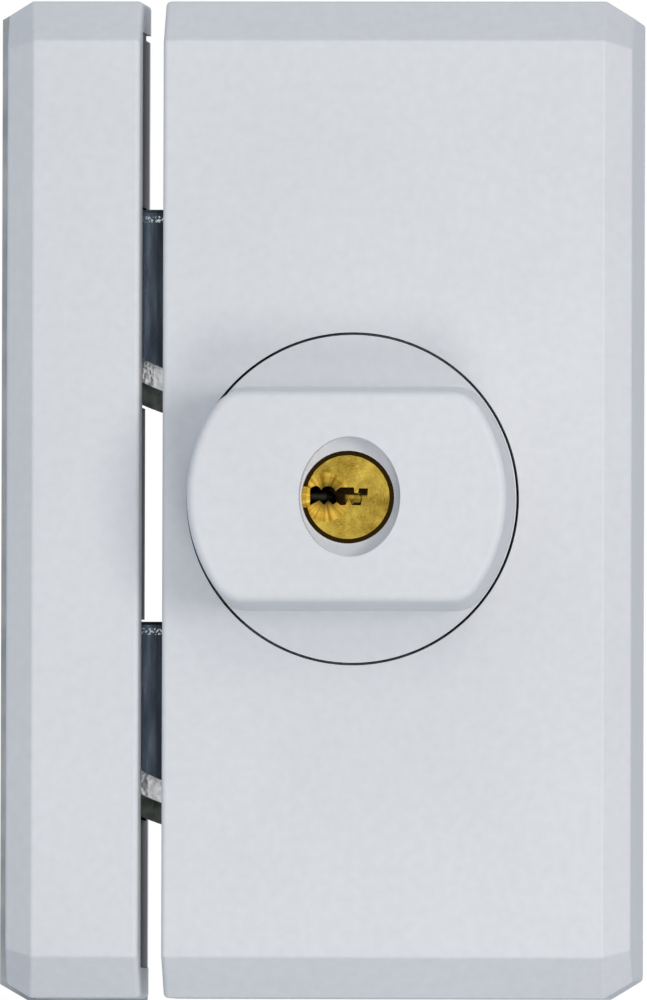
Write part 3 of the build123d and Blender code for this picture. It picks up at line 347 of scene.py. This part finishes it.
# Painted glints: bright spots are painted on each plate 1.5 mm below its top edge, standing in for
# highlights on that edge.
# The plates lie 63.4 mm apart, so heights are wrapped to the lower plate's
plate_pitch = 63.4 * mm
wrap_top = 11.5 * mm
glint_height = -20.2 * mm
height = work_out(blued_steel, "WRAP", spot["Z"], wrap_top, wrap_top - plate_pitch)
glint_line = work_out(blued_steel, "COMPARE", height, glint_height, 0.5 * mm)
glint_dots = spread(blued_steel, noise(blued_steel, place, 0.4 * mm, 3.0), 0.5, 0.6, 0.0, 0.9)
painted_glints = work_out(blued_steel, "MULTIPLY", glint_line, glint_dots)
end_finish(
    blued_steel,
    # The pale blue-white spots are painted glints
    Base_Color=blend_colours(blued_steel, painted_glints, case_shaded_colour, linear("#dfeef2")),
    Metallic=1.0,
    Roughness=spread(blued_steel, rolled, 0.3, 0.7, 0.34, 0.22),
    Normal=bump(blued_steel, pits, 0.4, 0.03 * mm),
)
give(blued_steel, "upper_bolt_front_plate", "lower_bolt_front_plate")

# Hook bolts, rear plates: the same hardened steel, sheared and left as it came from the oil bath.
# Dried quench oil gives it a dull olive grey with darker runs.
quenched_steel, place = start_finish("oil_quenched_steel")
runs = noise(quenched_steel, place, 1.6 * mm, 5.0)
end_finish(
    quenched_steel,
    Base_Color=tones(quenched_steel, runs, "#747a72", "#aeb5ab", 0.32, 0.68),
    Metallic=0.6,
    Roughness=spread(quenched_steel, runs, 0.3, 0.7, 0.6, 0.42),
    Normal=bump(quenched_steel, runs, 0.4, 0.04 * mm),
)
give(quenched_steel, "upper_bolt_rear_plate", "lower_bolt_rear_plate")

# Hook bolts, cores: a rough cast layer between the plates, left as cast.
# Its rim is pebbled and bright, and a little greyer in the hollows.
rough_cast, place = start_finish("rough_cast_zinc")
pebble = noise(rough_cast, place, 1.1 * mm, 4.0)
end_finish(
    rough_cast,
    Base_Color=tones(rough_cast, pebble, "#e8eaec", "#ffffff", 0.34, 0.6),
    Metallic=1.0,
    Roughness=0.3,
    Normal=bump(rough_cast, pebble, 0.8, 0.2 * mm),
)
give(rough_cast, "upper_bolt_core", "lower_bolt_core")

# Strike chassis: mild sheet steel, bent and phosphated.
# The phosphate is a dark slate grey, matt and finely mottled.
phosphated_sheet, place = start_finish("phosphated_sheet_steel")
crystals = noise(phosphated_sheet, place, 1.5 * mm, 6.0)
end_finish(
    phosphated_sheet,
    Base_Color=tones(phosphated_sheet, crystals, "#2b313c", "#424a59"),
    Metallic=0.6,
    Roughness=0.55,
    Normal=bump(phosphated_sheet, crystals, 0.3, 0.02 * mm),
)
give(phosphated_sheet, "strike_chassis")

# Studio: a wide pale floor under the lock, a pale surround, and three soft panels.
# The main panel stands to the right of the camera, so the knob's soft shadow falls to the left.
# Two smaller ones, above and below the camera, light the gap down to the hooks.
half_floor = 15.0
floor_height = -1.5
floor_mesh = bpy.data.meshes.new("studio_floor")
floor_mesh.from_pydata(
    [(x * half_floor, y * half_floor, floor_height) for x, y in ((-1, -1), (1, -1), (1, 1), (-1, 1))],
    [], [(0, 1, 2, 3)],
)
floor = bpy.data.objects.new("studio_floor", floor_mesh)
bpy.context.scene.collection.objects.link(floor)
floor_paint, place = start_finish("studio_floor_paint")
scuffs = noise(floor_paint, place, 400 * mm, 3.0)
end_finish(
    floor_paint, Base_Color=tones(floor_paint, scuffs, "#eeeff0", "#f4f4f4", 0.0, 1.0), Roughness=0.7
)
floor_mesh.materials.append(floor_paint)

# The surround shows white in the picture and in every shine. What it sheds on matt surfaces differs:
# the half of the room behind the camera is a pale screen, dim at its right edge, and the half behind
# the lock is dimmer and bluer, and darkest in its right corner.
surround = bpy.data.worlds.new("studio_surround")
surround.use_nodes = True
surround.node_tree.nodes.clear()
ray = add_node(surround, "ShaderNodeLightPath").outputs
seen = work_out(surround, "MAXIMUM", ray["Is Camera Ray"], ray["Is Glossy Ray"])
seen = work_out(surround, "MAXIMUM", seen, ray["Is Transmission Ray"])
facing = split(surround, add_node(surround, "ShaderNodeTexCoord").outputs["Generated"])
behind = spread(surround, facing["Y"], -0.1, 0.2)
aside = spread(surround, facing["X"], -1.0, 1.0)
edge = spread(surround, facing["X"], 0.35, 0.95)
screen = blend_colours(surround, edge, linear("#d0d5d9"), linear("#5c6774"))
rear = blend_colours(surround, aside, linear("#b0bccc"), linear("#3f5a7c"))
room_colour = blend_colours(surround, behind, screen, rear)
room_light = add_node(surround, "ShaderNodeBackground", {"Color": room_colour})
white = add_node(surround, "ShaderNodeBackground", {"Color": (1.0, 1.0, 1.0, 1.0)})
mixed = add_node(surround, "ShaderNodeMixShader", {0: seen, 1: room_light.outputs[0], 2: white.outputs[0]})
add_node(surround, "ShaderNodeOutputWorld", {"Surface": mixed.outputs[0]})
bpy.context.scene.world = surround

panel_colour = linear("#fff8f0")[:3]
for name, spot, width, watts in (
    ("main_panel", (0.57, -0.79, 0.04), 0.3, 2.5),
    ("upper_panel", (0.25, -0.8, 0.5), 0.32, 0.8),
    ("lower_panel", (0.25, -0.8, -0.5), 0.32, 2.0),
):
    panel = bpy.data.lights.new(name, "AREA")
    panel.shape = "SQUARE"
    panel.size = width
    panel.energy = watts
    panel.color = panel_colour
    lamp = bpy.data.objects.new(name, panel)
    lamp.location = spot
    lamp.rotation_mode = "QUATERNION"
    lamp.rotation_quaternion = (-Vector(spot)).to_track_quat("-Z", "Y")
    lamp.visible_camera = False
    bpy.context.scene.collection.objects.link(lamp)

bpy.context.scene.view_settings.view_transform = "Standard"
